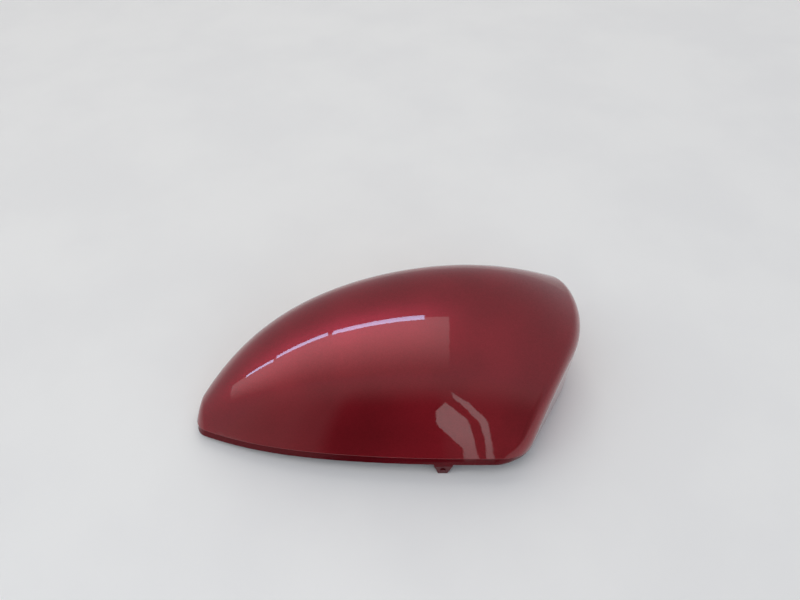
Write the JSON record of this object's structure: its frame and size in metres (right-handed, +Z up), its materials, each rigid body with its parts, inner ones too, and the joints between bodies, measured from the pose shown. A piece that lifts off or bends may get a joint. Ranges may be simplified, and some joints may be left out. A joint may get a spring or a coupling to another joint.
{
  "type": "wing mirror cover",
  "caption": "Painted wing mirror cover, domed, pointed at one end and broad at the other, with a rebated lip along its lower edge and moulded pegs and catches in the hollow.",
  "frame": {"origin": "middle of the cover's length and width, on the surface that its rim lies on", "axes": "+X from the pointed end to the broad end, +Y from the lower edge to the far rim, +Z up, away from the open side"},
  "size_m": [0.2204, 0.1312, 0.0672],
  "materials": {
    "paint": "deep red metallic paint under a glossy clear coat"
  },
  "bodies": {
    "root": {"mirror_cover": "paint"}
  },
  "joints": []
}
